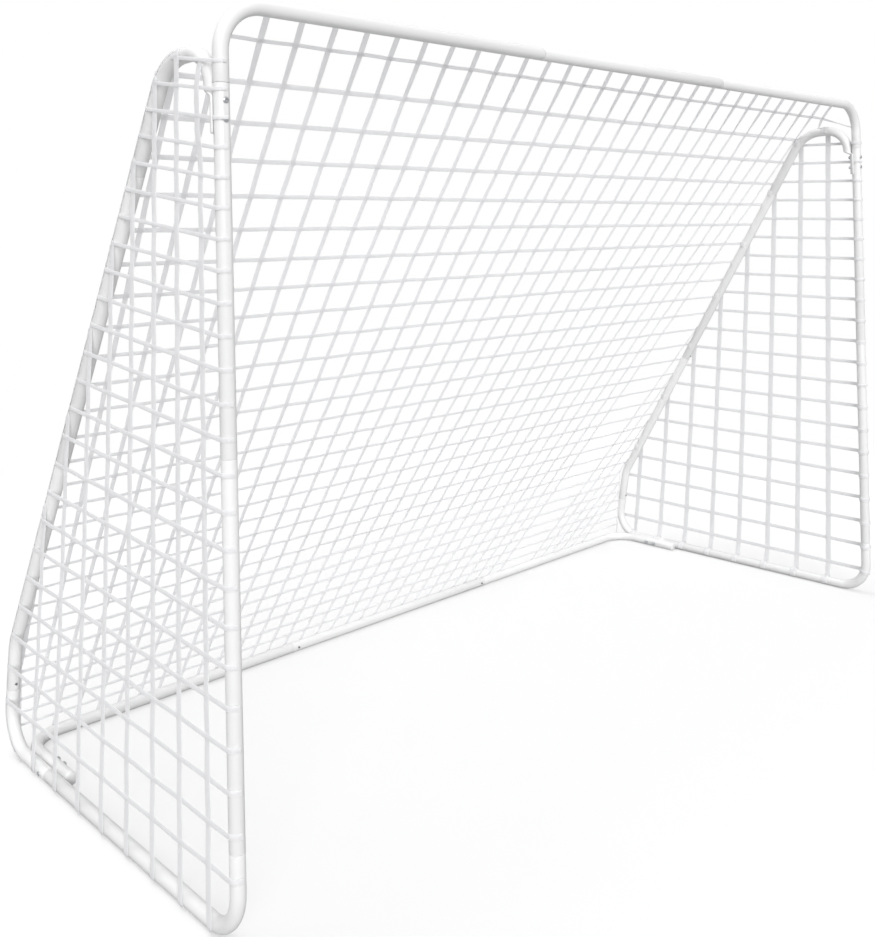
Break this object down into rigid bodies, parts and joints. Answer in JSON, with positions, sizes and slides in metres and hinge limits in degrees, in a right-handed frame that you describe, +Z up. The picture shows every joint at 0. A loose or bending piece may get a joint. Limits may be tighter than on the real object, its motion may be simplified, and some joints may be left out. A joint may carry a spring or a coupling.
{
  "type": "football goal",
  "caption": "Portable football goal: swaged steel tube frame with sloping rear stays whose bent tops bolt to the posts, spring-button joints, and a square-mesh net.",
  "frame": {"origin": "on the ground, in the middle of the goal's overall width and depth", "axes": "+X along the crossbar, to the right of a player who faces the mouth; +Y from the mouth to the back; +Z up"},
  "size_m": [3.0126, 1.2577, 2],
  "materials": {
    "white_paint": "smooth white powder coat",
    "zinc": "bright zinc plate",
    "spring_steel": "bare spring steel",
    "twine": "flat woven polyethylene twine"
  },
  "bodies": {
    "frame": {"crossbar_corner_left": "white_paint", "crossbar_middle": "white_paint", "crossbar_corner_right": "white_paint", "post_upper_left": "white_paint", "post_upper_right": "white_paint", "post_lower_left": "white_paint", "post_lower_right": "white_paint", "front_foot_left": "white_paint", "front_foot_right": "white_paint", "rear_foot_left": "white_paint", "rear_foot_right": "white_paint", "stay_lower_left": "white_paint", "stay_lower_right": "white_paint", "stay_upper_left": "white_paint", "stay_upper_right": "white_paint", "arc_left": "white_paint", "arc_right": "white_paint", "rear_bar_left": "white_paint", "rear_bar_middle": "white_paint", "rear_bar_right": "white_paint", "bolt_leg_low_left": "zinc", "bolt_leg_high_left": "zinc", "bolt_leg_low_right": "zinc", "bolt_leg_high_right": "zinc", "nut_leg_low_left": "zinc", "nut_leg_high_left": "zinc", "nut_leg_low_right": "zinc", "nut_leg_high_right": "zinc", "bolt_tail_front_left": "zinc", "bolt_tail_rear_left": "zinc", "bolt_tail_front_right": "zinc", "bolt_tail_rear_right": "zinc", "nut_tail_front_left": "zinc", "nut_tail_rear_left": "zinc", "nut_tail_front_right": "zinc", "nut_tail_rear_right": "zinc", "button_spring_leg_left": "spring_steel", "button_spring_leg_right": "spring_steel", "button_spring_stay_left": "spring_steel", "button_spring_stay_right": "spring_steel", "button_spring_bar_left": "spring_steel", "button_spring_bar_right": "spring_steel", "net_left": "twine", "net_right": "twine", "net_back": "twine", "net_back_low": "twine", "net_roof": "twine"},
    "leg_button_left": {"button_leg_left": "spring_steel"},
    "leg_button_right": {"button_leg_right": "spring_steel"},
    "stay_button_left": {"button_stay_left": "spring_steel"},
    "stay_button_right": {"button_stay_right": "spring_steel"},
    "bar_button_left": {"button_bar_left": "spring_steel"},
    "bar_button_right": {"button_bar_right": "spring_steel"}
  },
  "joints": [
    {"name": "press_leg_button_left", "type": "slide", "parent": "frame", "child": "leg_button_left", "axis": [0, 0.9842, 0.1771], "range_m": [0, 0.0055], "stiffness_N_per_m": 1500, "springref_m": -0.004},
    {"name": "press_leg_button_right", "type": "slide", "parent": "frame", "child": "leg_button_right", "axis": [0, 0.9842, 0.1771], "range_m": [0, 0.0055], "stiffness_N_per_m": 1500, "springref_m": -0.004},
    {"name": "press_stay_button_left", "type": "slide", "parent": "frame", "child": "stay_button_left", "axis": [0, 0.8526, 0.5225], "range_m": [0, 0.0055], "stiffness_N_per_m": 1500, "springref_m": -0.004},
    {"name": "press_stay_button_right", "type": "slide", "parent": "frame", "child": "stay_button_right", "axis": [0, 0.8526, 0.5225], "range_m": [0, 0.0055], "stiffness_N_per_m": 1500, "springref_m": -0.004},
    {"name": "press_bar_button_left", "type": "slide", "parent": "frame", "child": "bar_button_left", "axis": [0, 1, 0], "range_m": [0, 0.0055], "stiffness_N_per_m": 1500, "springref_m": -0.004},
    {"name": "press_bar_button_right", "type": "slide", "parent": "frame", "child": "bar_button_right", "axis": [0, 1, 0], "range_m": [0, 0.0055], "stiffness_N_per_m": 1500, "springref_m": -0.004}
  ]
}
